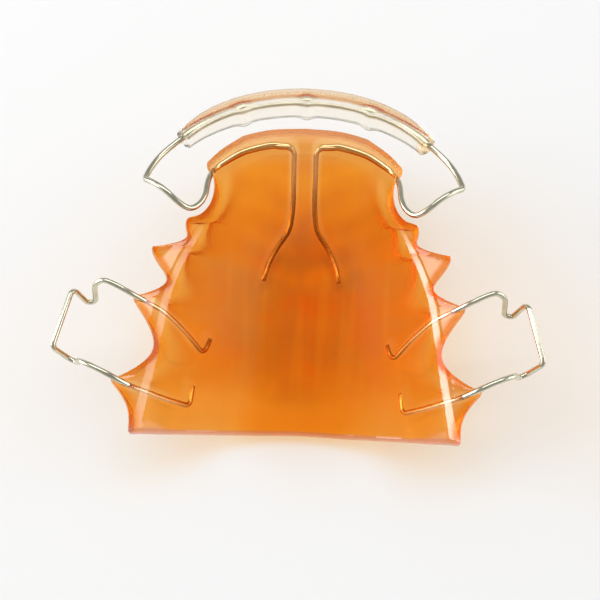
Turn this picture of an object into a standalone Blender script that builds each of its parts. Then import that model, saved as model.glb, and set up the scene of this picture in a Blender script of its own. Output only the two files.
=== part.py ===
"""Removable upper retainer of dyed clear acrylic and bent steel wire.

The chewing side faces +Z, the incisors lie towards +Y and the molars towards -Y. A bowl-shaped base
plate fills the palate behind the teeth. One wire runs from the vault, round both canines and along
the front of the incisors, where it carries a clear facing. A clasp of one wire holds each first molar.
"""
import bpy
import bmesh
from math import ceil, cos, exp, log, pi, radians, sin, sqrt, tan
from mathutils import Vector
from mathutils.bvhtree import BVHTree

# Fit
GAP = 0.0003                # running clearance of every wire in its channel

# Dental arch, measured on the palatal side of the teeth
ARCH_WIDTH = 0.0450         # between the gaps behind the two first molars
ARCH_LENGTH = 0.0430        # from the back corners of the plate to the incisors

# Vault of the palate. Shares along run from the back corners to the incisors.
MOLAR_RIM = -0.0026         # height of the rim below the chewing plane, beside the molars
INCISOR_RIM = -0.0044       # and behind the incisors
RIM_FALL = (0.40, 0.80)     # shares along between which it changes
VAULT_FLOOR = -0.0144       # height of the vault's floor
VAULT_WIDTH = 0.74          # width of the vault beside the molars, as a share of the arch's
VAULT_NARROWING = 0.25      # share that it loses towards the canines
NARROWS = (0.37, 0.84)      # shares along between which it does
VAULT_FLARE = 0.12          # share that it gains at the back edge
VAULT_FULLNESS = 2.9        # 2 is a parabola across, more is a flatter floor with steeper sides
VAULT_EASE = 0.0020         # softness of the turn from the vault's wall to the rim
FLOOR_LENGTH = 0.0265       # level stretch of the floor, from the back edge
FRONT_WALL_CURVE = 1.8      # how the front wall curves up from that floor
FRONT_ARCH = 2.6            # power of the curve that the ledge follows behind the incisors

# Base plate
BACK_EDGE_HOLLOW = 0.0024   # how far the back edge is cut forward at the midline
LEDGE = 0.0025              # level shelf against the incisors
PLATE_THICKNESS = 0.0027
RIM_ROUND = 0.00025         # bulge of the rounded rim
SIDE_BAND = 0.60            # share of the half width in which the thickness turns straight down
FRONT_BAND = 0.16           # and share of the length, behind the incisors
RAPHE_GROOVE = 0.0005       # groove under the plate along the midline
RAPHE_WIDTH = 0.22          # its half width, as a share of the vault's
RUGAE = 0.0002              # ridges under the plate behind the incisors
RUGAE_PITCH = 0.0042
RUGAE_PLACE = 0.0330        # middle of that field of ridges, from the back corners
RUGAE_REACH = 0.0045
FOOTING = 0.00007           # depth of the flat under the vault, on which the plate stands steady

# Wires
BOW_WIRE = 0.0008           # diameter of the labial bow
CLASP_WIRE = 0.0007         # diameter of the molar clasps
WIRE_SIDES = 8
PLIERS_BEND = 0.0008        # radius of a sharp bend, at the wire's centre line
MIDLINE_SPACING = 0.0031    # between the two tails of the bow along the midline
BRIDGE_OFFSET = 0.0078      # clasp bridge outside the gap behind the first molar
BRIDGE_HEIGHT = -0.0030
ARROWHEAD_DEPTH = 0.0030    # tips of the arrowheads below the bridge

# Clear facing on the front of the incisors
FACING_HEIGHT = 0.0046
FACING_TOP = -0.0018
FACING_THICKNESS = 0.0022
FACING_WALL = 0.00025       # acrylic between the wire's channel and the teeth
FACING_TAPER = 0.38         # share of its height that the facing loses towards its ends
FACING_SPREAD = 61.0        # degrees to each side of the midline
LABIAL_HALF_WIDTH = 0.0193  # half axes of the ellipse that the wire follows along the front
LABIAL_REACH = 0.0127
LABIAL_FRONT = 0.0041       # that wire in front of the palatal side of the incisors
LABIAL_HEIGHT = -0.0038
EMBRASURE_RIDGE = 0.0005    # ridges that fill the gaps between the incisors
EMBRASURE_WIDTH = 0.0009

HALF = ARCH_WIDTH / 2

# Half of the palatal margin in plan, from the midline back. Each gap between two teeth has its place
# as a share of half the width and of the length. The tooth behind it then pushes into the plate by
# the bulge, which is deepest at the peak and squarer the lower its power.
#    across  along   bulge    peak  power steps
MARGIN = (
    (0.000, 1.000, -0.00045, 0.55, 1.00, 10),   # central incisor
    (0.387, 0.966, -0.00040, 0.60, 1.00, 6),    # lateral incisor
    (0.590, 0.866, 0.00220, 0.60, 0.45, 9),     # canine
    (0.672, 0.664, 0.00270, 0.68, 0.80, 8),     # first premolar
    (0.858, 0.556, 0.00340, 0.66, 0.80, 9),     # second premolar
    (0.930, 0.390, 0.00405, 0.60, 0.75, 12),    # first molar
    (1.000, 0.140, 0.00090, 0.50, 1.00, 8),     # second molar
    (0.878, 0.000, 0.00000, 0.50, 1.00, 0),     # back corner
)
INCISORS = 2


def tooth_gap(index):
    """Place in plan between two teeth, on the +X side."""
    return Vector((MARGIN[index][0] * HALF, MARGIN[index][1] * ARCH_LENGTH, 0))


def scallop(index):
    """Margin along one tooth, from the gap in front of it up to the gap behind it."""
    bulge, peak, power, steps = MARGIN[index][2:]
    start, end = tooth_gap(index), tooth_gap(index + 1)
    inward = Vector((0, -1, 0)) if index < INCISORS else Vector((-1, 0, 0))
    skew = log(0.5) / log(peak)
    points = []
    for step in range(steps):
        wave = sin(pi * (step / steps) ** skew) if step else 0.0
        points.append(start.lerp(end, step / steps) + inward * bulge * wave ** power)
    return points


def mirrored(points):
    return [Vector((-p.x, p.y, p.z)) for p in points]


FRONT_HALF = [p for i in range(INCISORS) for p in scallop(i)] + [tooth_gap(INCISORS)]
SIDE = [p for i in range(INCISORS, len(MARGIN) - 1) for p in scallop(i)] + [tooth_gap(-1)]
FRONT = mirrored(FRONT_HALF[:0:-1]) + FRONT_HALF
SIDE.reverse()
COLUMNS, ROWS = len(FRONT) - 1, len(SIDE) - 1


def along_line(points, share):
    """Point at a share of a line that has evenly numbered points."""
    i = min(int(share * (len(points) - 1)), len(points) - 2)
    return points[i].lerp(points[i + 1], share * (len(points) - 1) - i)


def plan(u, v):
    """Place in plan of the plate, u across and v forward: level rows between its scalloped sides,
    which take the curves of the front and of the back edge only near them."""
    s, near_front, near_back = 2 * u - 1, v ** 4, (1 - v) ** 4
    side, front = along_line(SIDE, v), along_line(FRONT, u)
    point = Vector((s * side.x, side.y + BACK_EDGE_HOLLOW * (1 - s * s) * near_back, 0))
    return point + (front - Vector((s * SIDE[-1].x, SIDE[-1].y, 0))) * near_front


def ease(x, start=0.0, end=1.0):
    """Smooth step from 0 at the start to 1 at the end."""
    x = min(max((x - start) / (end - start), 0.0), 1.0)
    return x * x * (3 - 2 * x)


def vault_half_width(y):
    """Half the width of the vault: widest at the back edge, narrowest between the canines."""
    along = y / ARCH_LENGTH
    flare = VAULT_FLARE * max(1 - 2 * along, 0) ** 1.5
    return HALF * (VAULT_WIDTH - VAULT_NARROWING * ease(along, *NARROWS) + flare)


def tongue_side(x, y):
    """Height of the plate's upper surface."""
    rim = MOLAR_RIM + (INCISOR_RIM - MOLAR_RIM) * ease(y / ARCH_LENGTH, *RIM_FALL)
    across = (rim - VAULT_FLOOR) * (1 - abs(x / vault_half_width(y)) ** VAULT_FULLNESS)
    across = (across + sqrt(across * across + VAULT_EASE ** 2)) / 2
    corner = tooth_gap(INCISORS)
    front = ARCH_LENGTH - (ARCH_LENGTH - corner.y) * abs(x / corner.x) ** FRONT_ARCH
    climb = (y - FLOOR_LENGTH) / max(front - LEDGE - FLOOR_LENGTH, 0.001)
    return rim - across * (1 - min(max(climb, 0), 1) ** FRONT_WALL_CURVE)


def through(point, u, v):
    """Step from the upper surface to the tissue side: square to the slope of the vault, but straight
    down the teeth at the margin."""
    x, y, e, s = point.x, point.y, 0.0006, 2 * u - 1
    slope = Vector((tongue_side(x + e, y) - tongue_side(x - e, y),
                    (tongue_side(x, y + e) - tongue_side(x, y - e)) * (1 - s * s), 0)) / (2 * e)
    inside = ease(1 - abs(s), 0, SIDE_BAND) * ease(1 - v, 0, FRONT_BAND)
    down = (slope * inside - Vector((0, 0, 1))).normalized()
    midline = abs(x) / vault_half_width(y) / RAPHE_WIDTH
    groove = RAPHE_GROOVE * exp(-midline ** 2)
    waves = max(sin(2 * pi * (y - RUGAE_PITCH / 5 * cos(5 * x / HALF)) / RUGAE_PITCH), 0) ** 2
    field = exp(-((y - RUGAE_PLACE) / RUGAE_REACH) ** 2) * min(midline, 1)
    return down * (PLATE_THICKNESS + inside * (RUGAE * waves * field - groove))


def outward(u, v, surface):
    """Direction out of a patch at its boundary, level."""
    e = 0.004
    along = Vector((0, 0, 0))
    if u in (0, 1):
        along += (surface(u, min(v + e, 1)) - surface(u, max(v - e, 0))) * (1 if u else -1)
    if v in (0, 1):
        along += (surface(max(u - e, 0), v) - surface(min(u + e, 1), v)) * (1 if v else -1)
    return Vector((along.y, -along.x, 0)).normalized()


def block_solid(name, columns, rows, rim_steps, place):
    """Closed solid: a block of columns by rows whose points are set by place(u, v, w), where w goes
    from 0 on the upper sheet to 1 on the lower one."""
    bm = bmesh.new()
    bmesh.ops.create_grid(bm, x_segments=columns, y_segments=rows, size=0.5)
    lower = bmesh.ops.extrude_face_region(bm, geom=bm.faces[:], use_keep_orig=True)["geom"]
    lower = [item for item in lower if isinstance(item, bmesh.types.BMVert)]
    bmesh.ops.translate(bm, verts=lower, vec=(0, 0, -1))
    walls = [e for e in bm.edges if abs(e.verts[0].co.z - e.verts[1].co.z) > 0.5]
    bmesh.ops.subdivide_edges(bm, edges=walls, cuts=rim_steps)
    for vert in bm.verts:
        u, v, w = vert.co.x + 0.5, vert.co.y + 0.5, -vert.co.z
        vert.co = place(round(u, 6), round(v, 6), round(w, 6))
    bmesh.ops.recalc_face_normals(bm, faces=bm.faces[:])
    if bm.calc_volume(signed=True) < 0:
        bmesh.ops.reverse_faces(bm, faces=bm.faces[:])
    return finish(name, bm)


def finish(name, bm):
    mesh = bpy.data.meshes.new(name)
    bm.to_mesh(mesh)
    bm.free()
    mesh.shade_smooth()
    mesh.set_sharp_from_angle(angle=radians(40))
    obj = bpy.data.objects.new(name, mesh)
    bpy.context.scene.collection.objects.link(obj)
    return obj


def plate_point(u, v, w):
    point = plan(u, v)
    point.z = tongue_side(point.x, point.y)
    if 0 < w < 1 and (u in (0, 1) or v in (0, 1)):
        point += outward(u, v, plan) * RIM_ROUND * sqrt(1 - (2 * w - 1) ** 2)
    return point + through(point, u, v) * w


def level_footing(plate):
    """Flatten the lowest part of the underside."""
    level = min(vert.co.z for vert in plate.data.vertices) + FOOTING
    for vert in plate.data.vertices:
        vert.co.z = max(vert.co.z, level)


def middle_of_plate():
    """Search tree of the surface half way through the plate."""
    bm = bmesh.new()
    bmesh.ops.create_grid(bm, x_segments=COLUMNS, y_segments=ROWS, size=0.5)
    for vert in bm.verts:
        u, v = vert.co.x + 0.5, vert.co.y + 0.5
        vert.co = plan(u, v)
        vert.co.z = tongue_side(vert.co.x, vert.co.y)
        vert.co += through(vert.co, u, v) / 2
    tree = BVHTree.FromBMesh(bm)
    bm.free()
    return tree


MIDDLE = middle_of_plate()


def bent(points):
    """Centre line through corner points. Each is (point, bend radius); a radius of 0 means the
    widest curve that fits between its neighbours."""
    line = [points[0][0]]
    for (before, _), (corner, radius), (after, _) in zip(points, points[1:], points[2:]):
        come, go = (corner - before), (after - corner)
        turn = come.angle(go)
        room = 0.5 * min(come.length, go.length)
        if turn < radians(1):
            line.append(corner)
            continue
        reach = min(radius * tan(turn / 2), room) if radius else room
        come, go = come.normalized(), go.normalized()
        centre = corner + (go - come).normalized() * reach / sin(turn / 2)
        start, end = corner - come * reach - centre, corner + go * reach - centre
        steps = max(ceil(turn / radians(24)), 1)
        for step in range(steps + 1):
            line.append(centre + start.slerp(end, step / steps) * start.length)
    line.append(points[-1][0])
    kept = [line[0]]
    for point in line[1:-1]:
        if (point - kept[-1]).length > BOW_WIRE / 3 and (point - line[-1]).length > BOW_WIRE / 3:
            kept.append(point)
    return kept + [line[-1]]


def tube(name, line, radius, reach=0.0):
    """Round bar along a line, lengthened by reach at both ends."""
    line = list(line)
    line[0] = line[0] + (line[0] - line[1]).normalized() * reach
    line[-1] = line[-1] + (line[-1] - line[-2]).normalized() * reach
    bm = bmesh.new()
    ring = None
    side = None
    for i, point in enumerate(line):
        ahead = line[min(i + 1, len(line) - 1)] - point
        behind = point - line[max(i - 1, 0)]
        way = (ahead.normalized() + behind.normalized()).normalized()
        side = way.orthogonal() if side is None else side - way * side.dot(way)
        side.normalize()
        up = way.cross(side)
        new = [bm.verts.new(point + (side * cos(a) + up * sin(a)) * radius)
               for a in (2 * pi * k / WIRE_SIDES for k in range(WIRE_SIDES))]
        if ring:
            for k in range(WIRE_SIDES):
                m = (k + 1) % WIRE_SIDES
                bm.faces.new((ring[k], ring[m], new[m], new[k]))
        else:
            bm.faces.new(new[::-1])
        ring = new
    bm.faces.new(ring)
    return finish(name, bm)


def material(name, colour, roughness, metallic, transmission=0.0):
    mat = bpy.data.materials.new(name)
    mat.use_nodes = True
    shader = mat.node_tree.nodes["Principled BSDF"]
    shader.inputs["Base Color"].default_value = (*colour, 1)
    shader.inputs["Roughness"].default_value = roughness
    shader.inputs["Metallic"].default_value = metallic
    shader.inputs["Transmission Weight"].default_value = transmission
    return mat


def cut(body, cutter):
    cutter.hide_render = True
    cutter.display_type = "WIRE"
    modifier = body.modifiers.new("channel for " + cutter.name, "BOOLEAN")
    modifier.operation = "DIFFERENCE"
    modifier.solver = "EXACT"
    modifier.object = cutter


def labial(degrees, inset=0.0):
    """Point on the level curve along the front of the incisors."""
    a = radians(degrees)
    centre = ARCH_LENGTH + LABIAL_FRONT - LABIAL_REACH
    return Vector(((LABIAL_HALF_WIDTH + inset) * sin(a), centre + (LABIAL_REACH + inset) * cos(a),
                   LABIAL_HEIGHT))


def facing_point(u, v, w):
    """Facing: u along the front, v up, w from the outer face to the teeth."""
    along, rise = 2 * u - 1, 2 * v - 1
    inner = BOW_WIRE / 2 + GAP + FACING_WALL
    crown = sqrt(1 - 0.72 * rise * rise) * (1 - 0.2 * abs(along) ** 3)
    front = labial(along * FACING_SPREAD, (FACING_THICKNESS - inner) * crown)
    back = labial(along * FACING_SPREAD, -inner)
    for place in (0, tooth_gap(1).x, -tooth_gap(1).x):
        back.y -= EMBRASURE_RIDGE * exp(-((back.x - place) / EMBRASURE_WIDTH) ** 2)
    point = front.lerp(back, w)
    half = FACING_HEIGHT / 2 * (1 - FACING_TAPER * abs(along) ** 3)
    point.z = FACING_TOP - FACING_HEIGHT / 2 + half * rise
    bulge = RIM_ROUND * sqrt(max(1 - (2 * w - 1) ** 2, 0))
    if v in (0, 1):
        point.z += bulge * rise
    if u in (0, 1):
        point.x += bulge * along
    return point


def beside(index, outwards, forwards, height):
    """Point at an offset in plan from the gap between two teeth, at a height."""
    return tooth_gap(index) + Vector((outwards, forwards, height))


def in_plate(index, outwards, forwards):
    """Point at an offset in plan from the gap between two teeth, half way through the plate."""
    place = tooth_gap(index) + Vector((outwards, forwards, 1))
    return MIDDLE.ray_cast(place, Vector((0, 0, -1)))[0]


def bow_line():
    """Right half of the labial bow, from its tail in the vault to the front of the incisors."""
    lane, step = MIDLINE_SPACING / 2, -LEDGE
    tail = [(0.0040, -0.0188), (0.0034, -0.0160), (0.0020, -0.0132), (0.0004, -0.0112)]
    tail = [(in_plate(0, lane + x, y), 0) for x, y in tail]
    lane = [(in_plate(0, lane + x, step + y), r) for x, y, r in
            ((0, -0.0060, 0), (0, -0.0030, 0), (0, 0.0004, 0.0012), (0.0022, 0.0004, 0))]
    ledge = [(in_plate(2, x, y), 0) for x, y in
             ((-0.0088, 0.0038), (-0.0067, 0.0033), (-0.0044, 0.0024), (-0.0026, 0.0011))]
    loop = [(beside(2, x, y, z), 0) for x, y, z in
            ((-0.0010, -0.0003, -0.0058), (-0.0004, -0.0016, -0.0050))]
    loop += [(beside(3, x, y, z), r) for x, y, z, r in (
        (-0.0020, 0.0056, -0.0046, 0), (-0.0020, 0.0038, -0.0043, 0), (-0.0014, 0.0020, -0.0039, 0),
        (-0.0002, 0.0008, -0.0032, 0), (0.0012, 0.0012, -0.0020, 0), (0.0027, 0.0024, -0.0012, 0),
        (0.0045, 0.0037, -0.0014, 0), (0.0060, 0.0047, -0.0024, PLIERS_BEND),
        (0.0056, 0.0065, -0.0029, 0), (0.0047, 0.0087, -0.0035, 0), (0.0034, 0.0104, -0.0037, 0))]
    return tail + lane + ledge + loop + [(labial(d), 0) for d in (60, 50, 40, 30, 20, 10)]


def clasp_line():
    """Clasp of the right first molar: tail, arm, arrowhead, bridge, arrowhead, arm and tail."""
    front, back = 5, 6
    corner = tooth_gap(back).x - tooth_gap(front).x + BRIDGE_OFFSET - 0.0015
    tip = BRIDGE_HEIGHT - ARROWHEAD_DEPTH
    return [
        (in_plate(front, -0.0087, -0.0026), 0),
        (in_plate(front, -0.0080, -0.0049), PLIERS_BEND),
        (in_plate(front, -0.0064, -0.0033), 0),
        (in_plate(front, -0.0048, -0.0021), 0),
        (in_plate(front, -0.0034, -0.0013), 0),
        (beside(front, -0.0018, -0.0006, -0.0034), 0),
        (beside(front, 0.0002, 0.0000, -0.0014), 0),
        (beside(front, 0.0022, 0.0009, -0.0008), 0),
        (beside(front, 0.0036, 0.0014, -0.0008), 0),
        (beside(front, 0.0048, 0.0010, -0.0018), 0),
        (beside(front, 0.0056, 0.0003, tip), PLIERS_BEND),
        (beside(front, 0.0066, 0.0000, tip), PLIERS_BEND),
        (beside(front, corner, 0.0009, BRIDGE_HEIGHT), PLIERS_BEND),
        (beside(back, BRIDGE_OFFSET, 0.0038, BRIDGE_HEIGHT), PLIERS_BEND),
        (beside(back, 0.0064, 0.0032, tip), PLIERS_BEND),
        (beside(back, 0.0052, 0.0027, tip), PLIERS_BEND),
        (beside(back, 0.0040, 0.0019, -0.0016), 0),
        (beside(back, 0.0016, 0.0009, -0.0009), 0),
        (beside(back, -0.0006, -0.0001, -0.0014), 0),
        (beside(back, -0.0022, -0.0007, -0.0032), 0),
        (in_plate(back, -0.0040, -0.0010), 0),
        (in_plate(back, -0.0060, -0.0012), 0),
        (in_plate(back, -0.0084, -0.0013), PLIERS_BEND),
        (in_plate(back, -0.0086, 0.0014), 0),
    ]


def other_side(points):
    return [(Vector((-p.x, p.y, p.z)), radius) for p, radius in points]


def stand(solids, guides):
    """Hang everything on an empty that puts the origin at the middle of the lowest level."""
    points = [vert.co for solid in solids for vert in solid.data.vertices]
    low = [min(p[axis] for p in points) for axis in range(3)]
    high = [max(p[axis] for p in points) for axis in range(3)]
    base = bpy.data.objects.new("retainer", None)
    bpy.context.scene.collection.objects.link(base)
    base.location = (-(low[0] + high[0]) / 2, -(low[1] + high[1]) / 2, -low[2])
    for item in solids + guides:
        item.parent = base


def main():
    for old in list(bpy.data.objects):
        bpy.data.objects.remove(old)

    orange = material("orange clear acrylic", (0.80, 0.22, 0.012), 0.12, 0.0, 0.6)
    clear = material("clear acrylic", (0.93, 0.88, 0.74), 0.10, 0.0, 0.8)
    steel = material("polished steel wire", (0.66, 0.65, 0.60), 0.18, 1.0)

    plate = block_solid("base_plate", COLUMNS, ROWS, 3, plate_point)
    level_footing(plate)
    facing = block_solid("labial_facing", 36, 8, 3, facing_point)
    plate.data.materials.append(orange)
    facing.data.materials.append(clear)

    half_bow, clasp = bow_line(), clasp_line()
    bow = other_side(half_bow) + [(labial(0), 0)] + half_bow[::-1]
    wires, channels = [], []
    for name, points, diameter, holders in (
            ("labial_bow", bow, BOW_WIRE, (plate, facing)),
            ("molar_clasp_right", clasp, CLASP_WIRE, (plate,)),
            ("molar_clasp_left", other_side(clasp), CLASP_WIRE, (plate,))):
        line = bent(points)
        wires.append(tube(name, line, diameter / 2))
        wires[-1].data.materials.append(steel)
        channels.append(tube(name + "_channel", line, diameter / 2 + GAP, GAP))
        for holder in holders:
            cut(holder, channels[-1])
    stand([plate, facing] + wires, channels)


main()
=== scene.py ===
# %% [markdown]
# A removable retainer. A plate of orange clear acrylic fills the palate, a bent steel wire runs from it
# round the canines and carries a clear strip along the front of the incisors, and a wire clasp holds
# the first molar on each side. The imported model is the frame: it says where every piece lies and how
# large it is. This lesson rebuilds the pieces finely over that frame and gives them their finish.

# %% Load the frame
from math import ceil, cos, exp, log, pi, radians, sin, sqrt, tan
from types import SimpleNamespace

import bmesh
import bpy
from mathutils import Matrix, Vector, kdtree, noise
from mathutils.bvhtree import BVHTree


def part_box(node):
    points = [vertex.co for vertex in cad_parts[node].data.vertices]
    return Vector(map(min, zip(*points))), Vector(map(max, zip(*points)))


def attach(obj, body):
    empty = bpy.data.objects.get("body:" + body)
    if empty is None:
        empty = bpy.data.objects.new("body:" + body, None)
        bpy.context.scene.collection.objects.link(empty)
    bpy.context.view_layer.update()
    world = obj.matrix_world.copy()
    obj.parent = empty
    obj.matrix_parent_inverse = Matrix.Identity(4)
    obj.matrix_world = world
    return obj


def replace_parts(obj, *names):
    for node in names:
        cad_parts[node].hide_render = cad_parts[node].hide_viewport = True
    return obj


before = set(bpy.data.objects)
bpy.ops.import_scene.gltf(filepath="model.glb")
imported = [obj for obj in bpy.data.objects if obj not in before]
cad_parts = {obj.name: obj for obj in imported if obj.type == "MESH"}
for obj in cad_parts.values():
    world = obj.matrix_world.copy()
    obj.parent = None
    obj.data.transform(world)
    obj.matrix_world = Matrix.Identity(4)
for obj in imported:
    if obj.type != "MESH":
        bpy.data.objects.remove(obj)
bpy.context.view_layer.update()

# %% [markdown]
# Lengths are in metres. While a piece is worked out, heights are measured from the chewing plane and
# lengths from the back corners of the plate, as a technician measures them. These sizes are the ones
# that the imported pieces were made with, so the fine pieces land exactly on them.

# %% Sizes of the palate and the plate
ARCH_WIDTH = 0.0450         # between the gaps behind the two first molars
ARCH_LENGTH = 0.0430        # from the back corners of the plate to the incisors
HALF = ARCH_WIDTH / 2
MOLAR_RIM = -0.0026         # height of the rim beside the molars
INCISOR_RIM = -0.0044       # and beside the incisors
RIM_FALL = (0.40, 0.80)     # shares of the length between which the rim falls
VAULT_FLOOR = -0.0144       # height of the lowest line, before it is eased
VAULT_WIDTH = 0.74          # as a share of the arch's width, like the next two
VAULT_NARROWING = 0.25      # what the vault loses towards the front
VAULT_FLARE = 0.12          # what it gains towards the back edge
NARROWS = (0.37, 0.84)      # shares of the length between which it narrows
VAULT_FULLNESS = 2.9        # 2 is a parabola across, more is flatter with steeper sides
VAULT_EASE = 0.0020         # softness of the edge between the rim and the vault
FLOOR_LENGTH = 0.0265       # from the back corners to the foot of the front wall
FRONT_WALL_CURVE = 1.8      # 1 climbs straight, more starts gently
FRONT_ARCH = 2.6            # 2 is a parabola in plan, more is squarer
BACK_EDGE_HOLLOW = 0.0024
LEDGE = 0.0025              # level shelf against the incisors
PLATE_THICKNESS = 0.0027
RIM_ROUND = 0.00025         # swell of the wall round the margin
SIDE_BAND = 0.60            # of the half width, over which the step down turns square to the vault
FRONT_BAND = 0.16           # of the length, over which it does so behind the front margin
RAPHE_GROOVE = 0.0005       # depth of the groove under the midline
RAPHE_WIDTH = 0.22          # of the vault's half width

# %% [markdown]
# The margin of the plate follows the teeth: each tooth pushes a scallop into it, and a sharp spike
# stays between two teeth. The margin could be one curve drawn by hand, but with a row for each tooth a
# scallop can be changed by itself. A row starts at a gap between two teeth, given as shares across and
# along, then says how far the tooth behind it pushes in, where that is deepest, how square the scallop
# is, and how many steps it has.

# %% The margin of the palate
MARGIN = (
    (0.000, 1.000, -0.00045, 0.55, 1.00, 10),   # central incisor
    (0.387, 0.966, -0.00040, 0.60, 1.00, 6),    # lateral incisor
    (0.590, 0.866, 0.00220, 0.60, 0.45, 9),     # canine
    (0.672, 0.664, 0.00270, 0.68, 0.80, 8),     # first premolar
    (0.858, 0.556, 0.00340, 0.66, 0.80, 9),     # second premolar
    (0.930, 0.390, 0.00405, 0.60, 0.75, 12),    # first molar
    (1.000, 0.140, 0.00090, 0.50, 1.00, 8),     # second molar
    (0.878, 0.000, 0.00000, 0.50, 1.00, 0),     # back corner
)
INCISORS = 2
FINE = 4                    # steps here for each step in the table


def tooth_gap(index):
    return Vector((MARGIN[index][0] * HALF, MARGIN[index][1] * ARCH_LENGTH, 0))


def scallop(index):
    """Margin along one tooth, from the gap in front of it up to the gap behind it."""
    bulge, peak, power, steps = MARGIN[index][2:]
    start, end, steps = tooth_gap(index), tooth_gap(index + 1), steps * FINE
    inward = Vector((0, -1, 0)) if index < INCISORS else Vector((-1, 0, 0))
    skew = log(0.5) / log(peak)
    points = []
    for step in range(steps):
        wave = sin(pi * (step / steps) ** skew) if step else 0.0
        points.append(start.lerp(end, step / steps) + inward * bulge * wave ** power)
    return points


def mirrored(points):
    return [Vector((-p.x, p.y, p.z)) for p in points]


FRONT_HALF = [p for i in range(INCISORS) for p in scallop(i)] + [tooth_gap(INCISORS)]
SIDE = [p for i in range(INCISORS, len(MARGIN) - 1) for p in scallop(i)] + [tooth_gap(-1)]
FRONT = mirrored(FRONT_HALF[:0:-1]) + FRONT_HALF
SIDE.reverse()
COLUMNS, ROWS = len(FRONT) - 1, len(SIDE) - 1
print("margin:", COLUMNS, "steps across,", ROWS, "along each side")

# %% [markdown]
# One square sheet is laid over the palate. Its place in plan and its height are two separate
# functions, and a third gives the step from the tongue side down to the tissue side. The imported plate
# uses the same three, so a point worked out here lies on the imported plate.


# %% The surface of the palate
def along_line(points, share):
    i = min(int(share * (len(points) - 1)), len(points) - 2)
    return points[i].lerp(points[i + 1], share * (len(points) - 1) - i)


def plan(u, v):
    """Place in plan, u across and v forward."""
    s, near_front, near_back = 2 * u - 1, v ** 4, (1 - v) ** 4
    side, front = along_line(SIDE, v), along_line(FRONT, u)
    point = Vector((s * side.x, side.y + BACK_EDGE_HOLLOW * (1 - s * s) * near_back, 0))
    return point + (front - Vector((s * SIDE[-1].x, SIDE[-1].y, 0))) * near_front


def ease(x, start=0.0, end=1.0):
    """Smooth step from 0 at the start to 1 at the end."""
    x = min(max((x - start) / (end - start), 0.0), 1.0)
    return x * x * (3 - 2 * x)


def vault_half_width(y):
    along = y / ARCH_LENGTH
    flare = VAULT_FLARE * max(1 - 2 * along, 0) ** 1.5
    return HALF * (VAULT_WIDTH - VAULT_NARROWING * ease(along, *NARROWS) + flare)


def tongue_side(x, y):
    """Height of the plate's upper surface."""
    rim = MOLAR_RIM + (INCISOR_RIM - MOLAR_RIM) * ease(y / ARCH_LENGTH, *RIM_FALL)
    across = (rim - VAULT_FLOOR) * (1 - abs(x / vault_half_width(y)) ** VAULT_FULLNESS)
    across = (across + sqrt(across * across + VAULT_EASE ** 2)) / 2
    corner = tooth_gap(INCISORS)
    front = ARCH_LENGTH - (ARCH_LENGTH - corner.y) * abs(x / corner.x) ** FRONT_ARCH
    climb = (y - FLOOR_LENGTH) / max(front - LEDGE - FLOOR_LENGTH, 0.001)
    return rim - across * (1 - min(max(climb, 0), 1) ** FRONT_WALL_CURVE)


def through(point, u, v, relief=0.0):
    """Step from the tongue side to the tissue side, where relief is the extra thickness."""
    x, y, step, s = point.x, point.y, 0.0006, 2 * u - 1
    rise = tongue_side(x + step, y) - tongue_side(x - step, y)
    climb = (tongue_side(x, y + step) - tongue_side(x, y - step)) * (1 - s * s)
    slope = Vector((rise, climb, 0)) / (2 * step)
    inside = ease(1 - abs(s), 0, SIDE_BAND) * ease(1 - v, 0, FRONT_BAND)
    down = (slope * inside - Vector((0, 0, 1))).normalized()
    groove = RAPHE_GROOVE * exp(-(x / vault_half_width(y) / RAPHE_WIDTH) ** 2)
    return down * (PLATE_THICKNESS + inside * (relief - groove))


# %% [markdown]
# Shift from those working axes into the frame's axes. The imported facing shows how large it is: the
# facing is the foremost piece, and its front and top are known here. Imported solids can't touch, so a
# little air is kept round each wire. In this lesson the acrylic closes round the wires, as it does on
# the real retainer.

# %% Shift into the frame
BOW_WIRE = 0.0008           # diameter
GAP = 0.0003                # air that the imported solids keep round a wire
FACING_WALL = 0.00025       # of acrylic behind the wire
FACING_INNER = BOW_WIRE / 2 + GAP + FACING_WALL
FACING_THICKNESS = 0.0022
FACING_TOP = -0.0018
LABIAL_FRONT = 0.0041       # how far the bow passes in front of the plate

facing_low, facing_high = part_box("labial_facing")
SHIFT = Vector(((facing_low.x + facing_high.x) / 2,
                facing_high.y - ARCH_LENGTH - LABIAL_FRONT - FACING_THICKNESS + FACING_INNER,
                facing_high.z - FACING_TOP - RIM_ROUND))
print("shift, mm:", tuple(round(1000 * v, 3) for v in SHIFT))

# %% [markdown]
# The plate's tissue side is moulded on the palate: a small hollow behind the central incisors, and
# pairs of curved grooves behind that, where the palate has its ridges. A bump in the material would be
# quicker, but clear acrylic shows its far side: the plate is thinner there, and its orange is brighter.

# %% Relief of the tissue side
RUGAE = 0.00042             # depth of the grooves
RUGAE_PAIRS = 4
RUGAE_PITCH = 0.0040
RUGAE_FRONT = 0.0385        # where the first pair starts
RUGAE_START = 0.0015        # from the midline, where they reach their depth
RUGAE_REACH = 0.0125        # from the midline to their outer ends
RUGAE_BEND = 0.0016         # how far they curve forward and back
PAPILLA = 0.0005            # depth of the hollow, its place and its two half widths
PAPILLA_PLACE = 0.0365
PAPILLA_SIZE = (0.0012, 0.0026)
BROAD = 0.0004              # height of the palate's own slow waves
BROAD_SPAN = 0.007


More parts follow.
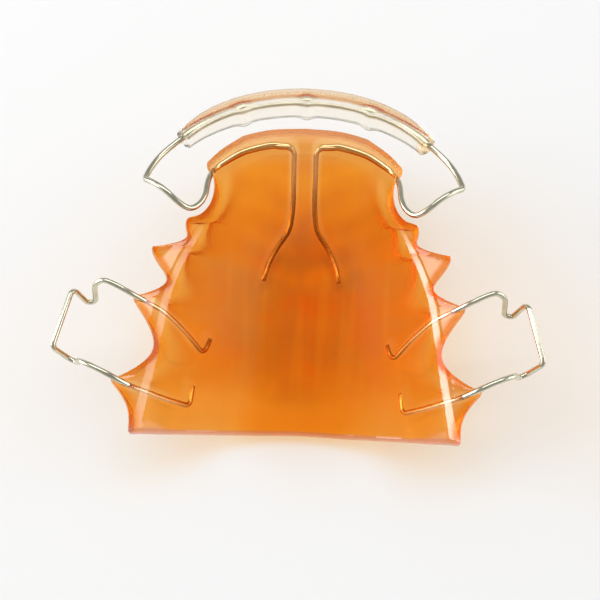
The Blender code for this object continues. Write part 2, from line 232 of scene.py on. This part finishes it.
def tissue_relief(x, y):
    """Extra thickness of the plate, which is below 0 where the palate stands out."""
    across = min(abs(x) / RUGAE_START, 1) * ease(1 - abs(x) / RUGAE_REACH, 0, 0.5)
    bend = RUGAE_BEND * sin(abs(x) / 0.0046) + 0.0007 * noise.noise(Vector((x, y, 0)) / 0.005)
    back = (RUGAE_FRONT - y + bend) / RUGAE_PITCH
    ridges = 0.0
    if 0 < back < RUGAE_PAIRS:
        ridges = RUGAE * sin(pi * (back % 1)) ** 2 * across * (1 - 0.15 * back)
    papilla = PAPILLA * exp(-(x / PAPILLA_SIZE[0]) ** 2 - ((y - PAPILLA_PLACE) / PAPILLA_SIZE[1]) ** 2)
    broad = BROAD * abs(noise.noise(Vector((x + 3, y, 0)) / BROAD_SPAN))
    return -ridges - papilla - broad


# %% [markdown]
# Every solid here starts as a flat grid, because a grid has rows and columns in which a surface can be
# written down: the place of a vertex is a function of its two shares. The acrylic pieces are two such
# sheets with a rounded wall between them. Each vertex keeps its shares in an attribute, and how many
# millimetres the relief takes off the plate in another. The materials read both to follow the form.


# %% Helper: a solid between two sheets
def block_solid(name, columns, rows, rim_steps, place):
    bm = bmesh.new()
    bmesh.ops.create_grid(bm, x_segments=columns, y_segments=rows, size=0.5)
    lower = bmesh.ops.extrude_face_region(bm, geom=bm.faces[:], use_keep_orig=True)["geom"]
    lower = [item for item in lower if isinstance(item, bmesh.types.BMVert)]
    bmesh.ops.translate(bm, verts=lower, vec=(0, 0, -1))
    walls = [e for e in bm.edges if abs(e.verts[0].co.z - e.verts[1].co.z) > 0.5]
    bmesh.ops.subdivide_edges(bm, edges=walls, cuts=rim_steps)
    shares = bm.verts.layers.float_vector.new("shares")
    thinned = bm.verts.layers.float.new("thinned")
    for vert in bm.verts:
        u, v, w = (round(x, 6) for x in (vert.co.x + 0.5, vert.co.y + 0.5, -vert.co.z))
        vert[shares] = (u, v, w)
        vert.co = place(u, v, w)
        vert[thinned] = -1000 * tissue_relief(vert.co.x, vert.co.y)
        vert.co += SHIFT
    bmesh.ops.recalc_face_normals(bm, faces=bm.faces[:])
    if bm.calc_volume(signed=True) < 0:
        bmesh.ops.reverse_faces(bm, faces=bm.faces[:])
    return finished(name, bm)


def finished(name, bm, sharp=40):
    mesh = bpy.data.meshes.new(name)
    bm.to_mesh(mesh)
    bm.free()
    mesh.shade_smooth()
    mesh.set_sharp_from_angle(angle=radians(sharp))
    piece = bpy.data.objects.new(name, mesh)
    bpy.context.scene.collection.objects.link(piece)
    print(name, len(mesh.polygons), "faces")
    return piece


# %% [markdown]
# The base plate. Its tongue side is polished by hand, so it is smooth but never quite even, which
# shows in the highlights. Nothing may reach below the floor, so the underside is held to its level.

# %% The base plate
UNEVEN = 0.00006            # height of the waves on the hand-polished side
UNEVEN_SPAN = 0.009
STROKES = 0.000022          # height of the strokes that the polishing wheel leaves along the arch
STROKES_ACROSS, STROKES_ALONG = 26, 5   # steps of their pattern over the whole sheet
SIDE_FADE, END_FADE = 0.12, 0.08        # both fade out over these shares at the margin


def plate_point(u, v, w):
    point = plan(u, v)
    flat = Vector((point.x, point.y, 0))
    point.z = tongue_side(point.x, point.y)
    if 0 < w < 1 and (u in (0, 1) or v in (0, 1)):
        point += outward(u, v, plan) * RIM_ROUND * sqrt(1 - (2 * w - 1) ** 2)
    inside = ease(1 - abs(2 * u - 1), 0, SIDE_FADE) * ease(1 - v, 0, END_FADE) * ease(v, 0, END_FADE)
    uneven = UNEVEN * noise.noise(flat / UNEVEN_SPAN)
    uneven += STROKES * noise.noise(Vector((STROKES_ACROSS * u, STROKES_ALONG * v, 7)))
    point.z += uneven * (1 - w) * inside
    point += through(point, u, v, tissue_relief(point.x, point.y)) * w
    point.z = max(point.z, -SHIFT.z)
    return point


def outward(u, v, surface):
    """Level direction out of a sheet at its boundary."""
    step = 0.004
    along = Vector((0, 0, 0))
    if u in (0, 1):
        along += (surface(u, min(v + step, 1)) - surface(u, max(v - step, 0))) * (1 if u else -1)
    if v in (0, 1):
        along += (surface(max(u - step, 0), v) - surface(min(u + step, 1), v)) * (1 if v else -1)
    return Vector((along.y, -along.x, 0)).normalized()


plate = block_solid("palate_plate", COLUMNS, ROWS, 7, plate_point)
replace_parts(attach(plate, "root"), "base_plate")

# %% [markdown]
# The facing is a strip of clear acrylic cured round the wire in front of the incisors. Its outer face
# is crowned, and its inner face has a low ridge in each gap between two teeth. Swept along the wire it
# would have one section everywhere, so it is made between two sheets, as the plate is.

# %% The clear facing
LABIAL_HALF_WIDTH = 0.0193  # of the curve in front of the incisors
LABIAL_REACH = 0.0127       # of the same curve, from its centre forward
LABIAL_HEIGHT = -0.0038
FACING_HEIGHT = 0.0046
FACING_SPREAD = 61.0        # degrees round the curve to each end
FACING_TAPER = 0.38         # share of the height that is lost at the ends
CROWN_EDGES = 0.72          # how much the outer face falls back at its long edges
CROWN_ENDS = 0.2            # and at its ends
EMBRASURE_RIDGE = 0.0005    # on the inner face, in each gap between two incisors
EMBRASURE_WIDTH = 0.0009


def labial(degrees, offset=0.0):
    """Point on the level curve of the wire along the front of the incisors."""
    angle = radians(degrees)
    centre = ARCH_LENGTH + LABIAL_FRONT - LABIAL_REACH
    return Vector(((LABIAL_HALF_WIDTH + offset) * sin(angle),
                   centre + (LABIAL_REACH + offset) * cos(angle), LABIAL_HEIGHT))


def facing_point(u, v, w):
    along, rise = 2 * u - 1, 2 * v - 1
    crown = sqrt(1 - CROWN_EDGES * rise * rise) * (1 - CROWN_ENDS * abs(along) ** 3)
    front = labial(along * FACING_SPREAD, (FACING_THICKNESS - FACING_INNER) * crown)
    back = labial(along * FACING_SPREAD, -FACING_INNER)
    for place in (0, tooth_gap(1).x, -tooth_gap(1).x):
        back.y -= EMBRASURE_RIDGE * exp(-((back.x - place) / EMBRASURE_WIDTH) ** 2)
    point = front.lerp(back, w)
    half = FACING_HEIGHT / 2 * (1 - FACING_TAPER * abs(along) ** 3)
    point.z = FACING_TOP - FACING_HEIGHT / 2 + half * rise
    bulge = RIM_ROUND * sqrt(max(1 - (2 * w - 1) ** 2, 0))
    if v in (0, 1):
        point.z += bulge * rise
    if u in (0, 1):
        point.x += bulge * along
    return point


facing = block_solid("incisor_facing", 144, 24, 7, facing_point)
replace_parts(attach(facing, "root"), "labial_facing")

# %% [markdown]
# A wire is a line of corner points with a bend at each. The embedded points are found on the surface
# half way through the plate, by a ray straight down, so the wires run inside the acrylic.


# %% Helper: points inside the plate and bent lines
def middle_of_plate():
    bm = bmesh.new()
    bmesh.ops.create_grid(bm, x_segments=COLUMNS // 2, y_segments=ROWS // 2, size=0.5)
    for vert in bm.verts:
        u, v = vert.co.x + 0.5, vert.co.y + 0.5
        vert.co = plan(u, v)
        vert.co.z = tongue_side(vert.co.x, vert.co.y)
        vert.co += through(vert.co, u, v) / 2
    tree = BVHTree.FromBMesh(bm)
    bm.free()
    return tree


MIDDLE = middle_of_plate()


def beside(index, outwards, forwards, height):
    """Point at an offset in plan from the gap between two teeth, at a height."""
    return tooth_gap(index) + Vector((outwards, forwards, height))


def in_plate(index, outwards, forwards):
    """The same, half way through the plate."""
    place = tooth_gap(index) + Vector((outwards, forwards, 1))
    return MIDDLE.ray_cast(place, Vector((0, 0, -1)))[0]


def bent(points):
    """Centre line through (point, bend radius) corners. A radius of 0 is the widest that fits."""
    line = [points[0][0]]
    for (before, _), (corner, radius), (after, _) in zip(points, points[1:], points[2:]):
        come, go = (corner - before), (after - corner)
        turn = come.angle(go)
        room = 0.5 * min(come.length, go.length)
        if turn < radians(1):
            line.append(corner)
            continue
        reach = min(radius * tan(turn / 2), room) if radius else room
        come, go = come.normalized(), go.normalized()
        centre = corner + (go - come).normalized() * reach / sin(turn / 2)
        start, end = corner - come * reach - centre, corner + go * reach - centre
        steps = max(ceil(turn / radians(5)), 2)
        for step in range(steps + 1):
            line.append(centre + start.slerp(end, step / steps) * start.length)
    line.append(points[-1][0])
    kept = [line[0]]
    for point in line[1:]:
        if (point - kept[-1]).length > BOW_WIRE / 12:
            kept.append(point)
    return kept


# %% [markdown]
# A flat grid is rolled into a round wire: one share goes round it and the other along it. The seam is
# merged and the two ends are closed and bevelled, as cutters and a stone leave them. A curve with a
# round bevel would have the same form, but here each vertex can keep an attribute that says whether it
# lies inside the acrylic, where the wire's colour carries a painted highlight and painted shade.

# %% Helper: a wire
WIRE_SIDES = 20


def in_acrylic(point, diameter):
    """1 where a wire of that diameter is wholly inside the plate, otherwise 0."""
    middle = MIDDLE.ray_cast(Vector((point.x, point.y, 0.01)), Vector((0, 0, -1)))[0]
    room = (PLATE_THICKNESS - diameter) / 2
    return float(middle is not None and abs(middle.z - point.z) < room)


def wire(name, line, diameter):
    ways = [(line[min(i + 1, len(line) - 1)] - line[max(i - 1, 0)]).normalized()
            for i in range(len(line))]
    sides = [ways[0].orthogonal().normalized()]
    for way in ways[1:]:
        sides.append((sides[-1] - way * sides[-1].dot(way)).normalized())
    bm = bmesh.new()
    bmesh.ops.create_grid(bm, x_segments=WIRE_SIDES, y_segments=len(line) - 1, size=0.5)
    inside = bm.verts.layers.float.new("inside")
    held = [in_acrylic(point, diameter) for point in line]
    for vert in bm.verts:
        angle, i = 2 * pi * (vert.co.x + 0.5), round((vert.co.y + 0.5) * (len(line) - 1))
        out = sides[i] * cos(angle) + ways[i].cross(sides[i]) * sin(angle)
        vert[inside] = held[i]
        vert.co = line[i] + out * diameter / 2 + SHIFT
    bmesh.ops.remove_doubles(bm, verts=bm.verts[:], dist=diameter / 1000)
    ends = [e for e in bm.edges if e.is_boundary]
    caps = bmesh.ops.holes_fill(bm, edges=ends, sides=0)["faces"]
    bmesh.ops.bevel(bm, geom=ends, offset=diameter / 8, offset_type="OFFSET", affect="EDGES",
                    segments=2, profile=0.5, material=-1)
    bmesh.ops.recalc_face_normals(bm, faces=bm.faces[:])
    print(len(caps), "ends closed")
    return finished(name, bm, sharp=50)


# %% [markdown]
# The bow starts in the vault, runs forward beside the midline, turns along the ledge, leaves the
# plate beside the lateral incisor, loops round the canine and follows the front of the incisors. One
# half is written down and the other is its mirror image, so the two halves meet in the middle.

# %% The labial bow
MIDLINE_SPACING = 0.0031    # between the bow's two straight stretches
PLIERS_BEND = 0.0008        # radius of a tight bend


def bow_line():
    """Right half of the bow, from its tail to the front."""
    beside_midline = MIDLINE_SPACING / 2
    tail = [(in_plate(0, beside_midline + x, y), 0) for x, y in
            ((0.0040, -0.0188), (0.0034, -0.0160), (0.0020, -0.0132), (0.0004, -0.0112))]
    lane = [(in_plate(0, beside_midline + x, y - LEDGE), r) for x, y, r in
            ((0, -0.0060, 0), (0, -0.0030, 0), (0, 0.0004, 0.0012), (0.0022, 0.0004, 0))]
    ledge = [(in_plate(2, x, y), 0) for x, y in
             ((-0.0088, 0.0038), (-0.0067, 0.0033), (-0.0044, 0.0024), (-0.0026, 0.0011))]
    loop = [(beside(2, x, y, z), 0) for x, y, z in
            ((-0.0010, -0.0003, -0.0058), (-0.0004, -0.0016, -0.0050))]
    loop += [(beside(3, x, y, z), r) for x, y, z, r in (
        (-0.0020, 0.0056, -0.0046, 0), (-0.0020, 0.0038, -0.0043, 0), (-0.0014, 0.0020, -0.0039, 0),
        (-0.0002, 0.0008, -0.0032, 0), (0.0012, 0.0012, -0.0020, 0), (0.0027, 0.0024, -0.0012, 0),
        (0.0045, 0.0037, -0.0014, 0), (0.0060, 0.0047, -0.0024, PLIERS_BEND),
        (0.0056, 0.0065, -0.0029, 0), (0.0047, 0.0087, -0.0035, 0), (0.0034, 0.0104, -0.0037, 0))]
    return tail + lane + ledge + loop + [(labial(d), 0) for d in (60, 50, 40, 30, 20, 10)]


def other_side(points):
    return [(Vector((-p.x, p.y, p.z)), radius) for p, radius in points]


half_bow = bow_line()
wire_lines = [bent(other_side(half_bow) + [(labial(0), 0)] + half_bow[::-1])]
bow = wire("bow_wire", wire_lines[0], BOW_WIRE)
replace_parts(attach(bow, "root"), "labial_bow")

# %% [markdown]
# Each molar clasp is one wire too: a tag in the plate, an arm over the gap between two teeth, an
# arrowhead that snaps under the tooth's side, the bridge, and the same again backwards.

# %% The molar clasps
CLASP_WIRE = 0.0007         # diameter
BRIDGE_OFFSET = 0.0078      # of the bridge, outwards from the gap behind the molar
BRIDGE_TURN = 0.0015        # by which its front corner lies further in
BRIDGE_HEIGHT = -0.0030
ARROWHEAD_DEPTH = 0.0030    # below the bridge


def clasp_line():
    front, back = 5, 6          # the gaps before and behind the first molar
    corner = tooth_gap(back).x - tooth_gap(front).x + BRIDGE_OFFSET - BRIDGE_TURN
    tip = BRIDGE_HEIGHT - ARROWHEAD_DEPTH
    return [
        (in_plate(front, -0.0087, -0.0026), 0),
        (in_plate(front, -0.0080, -0.0049), PLIERS_BEND),
        (in_plate(front, -0.0064, -0.0033), 0),
        (in_plate(front, -0.0048, -0.0021), 0),
        (in_plate(front, -0.0034, -0.0013), 0),
        (beside(front, -0.0018, -0.0006, -0.0034), 0),
        (beside(front, 0.0002, 0.0000, -0.0014), 0),
        (beside(front, 0.0022, 0.0009, -0.0008), 0),
        (beside(front, 0.0036, 0.0014, -0.0008), 0),
        (beside(front, 0.0048, 0.0010, -0.0018), 0),
        (beside(front, 0.0056, 0.0003, tip), PLIERS_BEND),
        (beside(front, 0.0066, 0.0000, tip), PLIERS_BEND),
        (beside(front, corner, 0.0009, BRIDGE_HEIGHT), PLIERS_BEND),
        (beside(back, BRIDGE_OFFSET, 0.0038, BRIDGE_HEIGHT), PLIERS_BEND),
        (beside(back, 0.0064, 0.0032, tip), PLIERS_BEND),
        (beside(back, 0.0052, 0.0027, tip), PLIERS_BEND),
        (beside(back, 0.0040, 0.0019, -0.0016), 0),
        (beside(back, 0.0016, 0.0009, -0.0009), 0),
        (beside(back, -0.0006, -0.0001, -0.0014), 0),
        (beside(back, -0.0022, -0.0007, -0.0032), 0),
        (in_plate(back, -0.0040, -0.0010), 0),
        (in_plate(back, -0.0060, -0.0012), 0),
        (in_plate(back, -0.0084, -0.0013), PLIERS_BEND),
        (in_plate(back, -0.0086, 0.0014), 0),
    ]


clasps = []
for side, points in (("right", clasp_line()), ("left", other_side(clasp_line()))):
    wire_lines.append(bent(points))
    clasps.append(wire("clasp_wire_" + side, wire_lines[-1], CLASP_WIRE))
    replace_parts(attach(clasps[-1], "root"), "molar_clasp_" + side)

# %% [markdown]
# Only a skin of acrylic lies over a wire, and bright steel sends the light straight back through it,
# so it looks paler there. Another attribute tells the plate's material how near a wire each vertex
# is, seen from above.

# %% Nearness to the wires
SKIN = (0.00035, 0.0009)    # full nearness up to the first distance, none from the second


def set_nearness(piece, lines):
    points = []
    for line in lines:
        for a, b in zip(line, line[1:]):
            steps = ceil((b - a).length / 0.0001)
            points += [a.lerp(b, i / steps) for i in range(steps)]
    tree = kdtree.KDTree(len(points))
    for i, point in enumerate(points):
        tree.insert((point.x, point.y, 0), i)
    tree.balance()
    near = []
    for vert in piece.data.vertices:
        place = vert.co - SHIFT
        near.append(1 - ease(tree.find((place.x, place.y, 0))[2], *SKIN))
    piece.data.attributes.new("near_wire", "FLOAT", "POINT").data.foreach_set("value", near)
    print(piece.name, sum(n > 0.5 for n in near), "vertices over a wire")


set_nearness(plate, wire_lines)

# %% [markdown]
# Materials are written as arithmetic. A small class holds an output of a node: adding or multiplying
# two of them adds the Math node that does it, so a pattern reads like a formula.


# %% Helper: shader maths
class Flow:
    """A value that flows out of a node."""

    def __init__(self, finish, socket):
        self.finish, self.socket = finish, socket

    def math(self, operation, first, second):
        return self.finish.node("Math", {"operation": operation}, {0: first, 1: second})

    def __add__(self, other):
        return self.math("ADD", self, other)

    def __sub__(self, other):
        return self.math("SUBTRACT", self, other)

    def __rsub__(self, other):
        return self.math("SUBTRACT", other, self)

    def __mul__(self, other):
        return self.math("MULTIPLY", self, other)

    __radd__, __rmul__ = __add__, __mul__


class Finish:
    """A material or a world, and the nodes that make it."""

    def __init__(self, name, kind="materials"):
        self.data = getattr(bpy.data, kind).new(name)
        self.data.use_nodes = True
        self.tree = self.data.node_tree
        self.tree.nodes.clear()

    def node(self, kind, settings=None, inputs=None, output=0):
        node = self.tree.nodes.new("ShaderNode" + kind)
        for name, value in (settings or {}).items():
            setattr(node, name, value)
        for socket, value in (inputs or {}).items():
            if isinstance(value, Flow):
                self.tree.links.new(value.socket, node.inputs[socket])
            else:
                node.inputs[socket].default_value = value
        return Flow(self, node.outputs[output]) if node.outputs else node

    def noise(self, scale, detail=2.0, vector=None):
        inputs = {"Scale": scale, "Detail": detail}
        inputs["Vector"] = vector or self.node("TexCoord", output="Object")
        return self.node("TexNoise", None, inputs)

    def spread(self, value, low, high, to_low=0.0, to_high=1.0):
        """Map the range from low to high onto another, smoothly and held at its ends."""
        return self.node("MapRange", {"interpolation_type": "SMOOTHSTEP"},
                         {"Value": value, "From Min": low, "From Max": high,
                          "To Min": to_low, "To Max": to_high})

    def blend(self, share, first, second):
        """Mix two colours."""
        return self.node("Mix", {"data_type": "RGBA"}, {0: share, 6: first, 7: second}, output=2)

    def attribute(self, name, output="Fac"):
        return self.node("Attribute", {"attribute_name": name}, output=output)

    def shares(self):
        """The three shares that each vertex keeps: across, along and through."""
        place = self.attribute("shares", "Vector")
        return (self.node("SeparateXYZ", None, {0: place}, output=axis) for axis in range(3))

    def surface(self, shader, volume=None):
        links = {"Surface": shader}
        if volume:
            links["Volume"] = volume
        self.node("OutputMaterial", None, links)
        print(self.data.name, len(self.tree.nodes), "nodes")
        return self.data


# %% [markdown]
# Dyed acrylic is clear. Its tongue side is polished like glass, while its tissue side and its margin
# are left matt, as they come out of the curing, and blur all that is seen through them. Half of its
# colour is put on the surface and half into an absorbing volume, so that thick places are deeper but
# a long way round inside isn't black. For lamps and for the floor's own light the surface is simply
# open, so that the plate's shadow is orange.


# %% Helper: clear solids
def let_light_through(look, glass, tint):
    clear = look.node("BsdfTransparent", None, {"Color": tint})
    lamps = look.node("MixShader", None, {0: look.node("LightPath", output="Is Shadow Ray"),
                                          1: glass, 2: clear})
    return look.node("MixShader", None, {0: look.node("LightPath", output="Is Diffuse Ray"),
                                         1: lamps, 2: clear})


# %% [markdown]
# The finish of the plate follows its form, so its zones come first. Each is 1 where the zone is and
# fades to 0 outside it. The measure called side is 0 on the midline and 1 at the scallops.


# %% Zones of the plate
def plate_zones(look):
    across, along, depth = look.shares()
    side = (across - 0.5) * (across - 0.5) * 4
    from_middle = (along - 0.52) * (along - 0.52) * 5 + side
    waves = look.noise(260, 3)
    ledge = look.spread(along, 0.93, 0.97)
    return SimpleNamespace(
        side=side, along=along, waves=waves, ledge=ledge,
        matt=look.spread(depth, 0.08, 0.3),
        rim=look.spread(side, 0.45, 0.70),
        border=look.spread(side, 0.88, 0.96) * (1 - ledge),
        back_edge=look.spread(along, 0.0, 0.012, 1.0, 0.0),
        middle=look.spread(from_middle + (waves - 0.5) * 0.5, 0.05, 0.75, 1.0, 0.0),
        # Painted shade down the midline groove, used as a colour layer
        painted_midline_shade=look.spread(side, 0.004, 0.04, 1.0, 0.0) * look.spread(along, 0.05, 0.25))


# %% [markdown]
# The orange isn't even, and part of it is painted light. It is browner in the middle of the vault,
# darker down the midline as painted shade of the groove under it, and brighter over each groove of the
# tissue side, where the acrylic is thinner. The low back of the vault, near the midline, is painted
# paler, as painted light over the plate's own shadow on the floor. Faint bands run along the vault. The
# rim is paler, and the border along the scallops is the strongest, because light that runs inside the
# acrylic comes out there. The cut back edge is painted violet, as painted shade, and the skin over a
# wire is the palest. Each layer in the table lies over the ones before it, by the share that stands in
# front of its colour.


# %% Colour of the orange acrylic
def orange_dye_and_painted_light(look, zone):
    thin = look.spread(look.attribute("thinned"), 0.04, 0.45)
    patches = look.spread(look.noise(150, 3), 0.48, 0.66) * (zone.middle * 0.5 + 0.1)
    place = look.node("TexCoord", output="Object")
    stretched = look.node("VectorMath", {"operation": "MULTIPLY"}, {0: place, 1: (480, 36, 0)})
    lines = look.spread(look.noise(1.0, 1, stretched), 0.48, 0.70) * (1 - zone.matt)
    lines = lines * look.spread(zone.along, 0.5, 0.72, 0.6, 0.1)
    skin = look.spread(zone.along, 0.75, 0.93) * 0.5 + look.spread(zone.side, 0.5, 0.7) * 0.6 + 0.15
    skin = skin * look.attribute("near_wire") * (1 - zone.matt)
    colour = look.blend(look.spread(zone.along, 0.05, 0.40), (0.90, 0.44, 0.07, 1), (0.87, 0.32, 0.035, 1))
    layers = (
        # Painted light: the low back of the vault is made paler over the plate's shadow on the floor
        (look.spread(zone.side + zone.along * 2, 0.1, 0.9, 1.0, 0.0), (0.96, 0.60, 0.18, 1)),
        (zone.middle, (0.70, 0.35, 0.12, 1)),
        # Painted shade down the midline groove
        (zone.painted_midline_shade * 0.5, (0.68, 0.28, 0.11, 1)),
        (thin * 0.6, (1.0, 0.42, 0.04, 1)),
        (patches, (0.88, 0.25, 0.05, 1)),
        (lines, (0.92, 0.50, 0.10, 1)),
        (look.spread(zone.side, 0.62, 0.80), (0.92, 0.47, 0.10, 1)),
        (zone.ledge, (0.86, 0.44, 0.13, 1)),
        (zone.border, (0.94, 0.35, 0.025, 1)),
        # Painted shade: the cut back edge is tinted violet
        (zone.back_edge, (0.64, 0.33, 0.62, 1)),
        (skin, (0.99, 0.92, 0.76, 1)),
    )
    for share, tint in layers:
        colour = look.blend(share, colour, tint)
    return colour


# %% [markdown]
# The polished rim, the ledge and the back edge get a coat, which carries the pale streaks and glints.
# In the vault there is none, and the mirror image is tinted dark, because there it shows the far wall
# of the same orange vault.


# %% Orange acrylic
def orange_acrylic():
    look = Finish("orange_acrylic")
    zone = plate_zones(look)
    polished = 1 - zone.matt
    fine = look.noise(2600, 2)
    bump = look.node("Bump", None, {"Strength": 0.2, "Distance": 0.0001,
                                    "Height": zone.waves * 0.5 + fine * 0.03})
    gloss = look.spread(fine, 0.3, 0.7, 0.07, 0.11) + (1 - zone.rim) * 0.11
    coat = look.spread(zone.along, 0.955, 0.985) * look.spread(zone.side, 0.2, 0.8, 0.3, 0.1)
    coat = coat + zone.rim * look.spread(zone.along, 0.64, 0.78, 1.0, 0.0)
    coat = coat * (1 - zone.border * 0.8) * polished * (1 - zone.back_edge) + zone.back_edge * 0.6
    glass = look.node("BsdfPrincipled", None, {
        "Base Color": orange_dye_and_painted_light(look, zone), "Roughness": gloss * polished + zone.matt * 0.5,
        "IOR": 1.25, "Transmission Weight": 1.0, "Specular Tint": (0.35, 0.12, 0.02, 1),
        "Coat Weight": coat, "Coat Roughness": 0.06, "Coat IOR": 1.8, "Normal": bump})
    volume = look.node("VolumeAbsorption", None, {"Color": (0.99, 0.78, 0.35, 1), "Density": 250.0})
    return look.surface(let_light_through(look, glass, (0.97, 0.80, 0.45, 1)), volume)


plate.data.materials.append(orange_acrylic())


# %% [markdown]
# The facing is the same acrylic without dye, so it is almost colourless. Its inner side is matt, and a
# little of the orange has run into its right end.


# %% Clear acrylic
def clear_acrylic():
    look = Finish("clear_acrylic")
    across, _, depth = look.shares()
    waves = look.noise(500, 2)
    bump = look.node("Bump", None, {"Strength": 0.25, "Distance": 0.0001, "Height": waves})
    matt = look.spread(depth, 0.5, 0.9)
    dyed = look.spread(across, 0.955, 0.97) * look.spread(look.noise(900, 1), 0.40, 0.55)
    colour = look.blend(waves, (1.0, 0.97, 0.90, 1), (0.98, 0.95, 0.90, 1))
    glass = look.node("BsdfPrincipled", None, {
        "Base Color": look.blend(dyed, colour, (0.95, 0.60, 0.25, 1)),
        "Roughness": matt * 0.35 + 0.05, "IOR": 1.32, "Transmission Weight": 1.0, "Normal": bump})
    volume = look.node("VolumeAbsorption", None, {"Color": (0.97, 0.88, 0.66, 1), "Density": 60.0})
    return look.surface(let_light_through(look, glass, (1.0, 0.98, 0.94, 1)), volume)


facing.data.materials.append(clear_acrylic())


# %% [markdown]
# Stainless wire is bright, with a brushed grain and a faint yellow tone. Inside the plate its colour is
# painted light: pale where it lies high, as a painted highlight, and brown where it lies low, as painted
# shade of the thicker orange above it.


# %% Steel wire
def steel_wire():
    look = Finish("steel_wire")
    grain = look.noise(4000, 3)
    tone = look.spread(look.noise(420, 2), 0.35, 0.65)
    bump = look.node("Bump", None, {"Strength": 0.15, "Distance": 0.00002, "Height": grain})
    colour = look.blend(tone, (0.58, 0.56, 0.43, 1), (0.70, 0.68, 0.53, 1))
    place = look.node("TexCoord", output="Object")
    height = look.node("SeparateXYZ", None, {0: place}, output=2)
    # Painted highlight high in the plate and painted shade low in it, for wire inside the acrylic
    painted_light_inside = look.blend(look.spread(height, 0.004, 0.0095), (0.58, 0.41, 0.18, 1), (0.98, 0.96, 0.88, 1))
    shader = look.node("BsdfPrincipled", None, {
        "Base Color": look.blend(look.attribute("inside"), colour, painted_light_inside),
        "Metallic": 1.0, "Roughness": look.spread(grain, 0.3, 0.7, 0.12, 0.24), "Normal": bump})
    return look.surface(shader)


steel = steel_wire()
for piece in (bow, *clasps):
    piece.data.materials.append(steel)

# %% [markdown]
# The stage is a plain pale floor. The lamps light it well near the retainer only, so from 10 cm out
# it turns into a white glow, which meets the white background without a line.

# %% Floor
FLOOR_REACH = 0.4
FLOOR_DROP = 0.00002        # below the retainer, so that the two surfaces don't meet
GLOW = (0.10, 0.36)         # distances between which the lit floor turns into a white glow

bm = bmesh.new()
bmesh.ops.create_grid(bm, x_segments=1, y_segments=1, size=FLOOR_REACH)
bmesh.ops.translate(bm, verts=bm.verts[:], vec=(0, 0, -FLOOR_DROP))
floor = finished("floor", bm)
look = Finish("floor")
place = look.node("TexCoord", output="Object")
apart = look.node("VectorMath", {"operation": "LENGTH"}, {0: place}, output="Value")
far = look.spread(apart, *GLOW)
floor.data.materials.append(look.surface(look.node("BsdfPrincipled", None, {
    "Base Color": look.blend(far, (0.93, 0.93, 0.93, 1), (0, 0, 0, 1)),
    "Emission Color": look.blend(far, (0, 0, 0, 1), (1, 1, 1, 1)), "Emission Strength": 1.0,
    "Roughness": 0.9, "Specular IOR Level": 0.0})))

# %% [markdown]
# The camera stands where the photograph was taken from: 70 degrees above the chewing plane, close by, a
# little to the right of the midline. Its axes are worked out from those angles, and a roll of a third
# of a degree is added.

# %% Camera
ELEVATION, AZIMUTH, ROLL = radians(70), radians(2.4), radians(-0.31)
DISTANCE = 0.095
FOCAL = 778 / 600           # focal length as a share of the picture's width
SENSOR = 36.0
AIM = Vector((0.00016, 0.016, 0))       # the point on the chewing plane at the picture's centre

look_at = AIM + SHIFT
back = Vector((sin(AZIMUTH) * cos(ELEVATION), -cos(AZIMUTH) * cos(ELEVATION), sin(ELEVATION)))
right = Vector((cos(AZIMUTH), sin(AZIMUTH), 0))
up = back.cross(right)
data = bpy.data.cameras.new("camera")
data.sensor_width, data.lens = SENSOR, SENSOR * FOCAL
data.clip_start, data.clip_end = 0.005, 10
camera = bpy.data.objects.new("camera", data)
bpy.context.scene.collection.objects.link(camera)
turn = Matrix((right, up, back)).transposed().to_4x4() @ Matrix.Rotation(ROLL, 4, "Z")
camera.matrix_world = Matrix.Translation(look_at + back * DISTANCE) @ turn
bpy.context.scene.camera = camera
print("camera, mm:", tuple(round(1000 * v, 1) for v in camera.matrix_world.translation))

# %% [markdown]
# The light is a soft studio. The strong low lamp on the left is mirrored as the long streak down the
# right rim, the wide one on the right as the haze on the left rim, and the one overhead as the sheen
# of the ledge. The world is a little darker overhead than near the horizon, so that the steel has
# something to reflect, and plain white where the camera sees past the floor.

# %% Lights
LAMP_DISTANCE = 1.0
LAMPS_AIM = Vector((0, 0, 0.01))


def lamp(name, azimuth, elevation, width, height, level):
    """A rectangular lamp that faces the plate. Its level is how bright it looks, where 1 is white."""
    turn, tilt = radians(azimuth), radians(elevation)
    way = Vector((sin(turn) * cos(tilt), cos(turn) * cos(tilt), sin(tilt)))
    data = bpy.data.lights.new(name, "AREA")
    data.shape, data.size, data.size_y = "RECTANGLE", width, height
    data.energy = pi * level * width * height
    light = bpy.data.objects.new(name, data)
    bpy.context.scene.collection.objects.link(light)
    place = Matrix.Translation(LAMPS_AIM + way * LAMP_DISTANCE)
    light.matrix_world = place @ way.to_track_quat("Z", "Y").to_matrix().to_4x4()
    print(name, "gives the floor", round(level * width * height * sin(tilt) / pi / LAMP_DISTANCE ** 2, 2))


def studio_world(top, horizon):
    look = Finish("studio", "worlds")
    way = look.node("TexCoord", output="Generated")
    upward = look.node("SeparateXYZ", None, {0: way}, output=2)
    level = look.node("MapRange", None, {"Value": upward, "From Min": 0.0, "From Max": 0.8,
                                         "To Min": horizon, "To Max": top})
    seen = look.node("Mix", None, {0: look.node("LightPath", output="Is Camera Ray"), 2: level, 3: 1.0})
    light = look.node("Background", None, {"Color": (1, 1, 1, 1), "Strength": seen})
    look.node("OutputWorld", None, {"Surface": light})
    return look.data


bpy.context.scene.world = studio_world(top=0.37, horizon=0.43)
lamp("left", azimuth=-87, elevation=18, width=0.7, height=0.6, level=6.0)
lamp("right", azimuth=84, elevation=17, width=0.9, height=0.8, level=1.7)
lamp("over", azimuth=-10, elevation=66, width=1.2, height=0.4, level=2.9)

bpy.context.scene.view_settings.view_transform = "Standard"
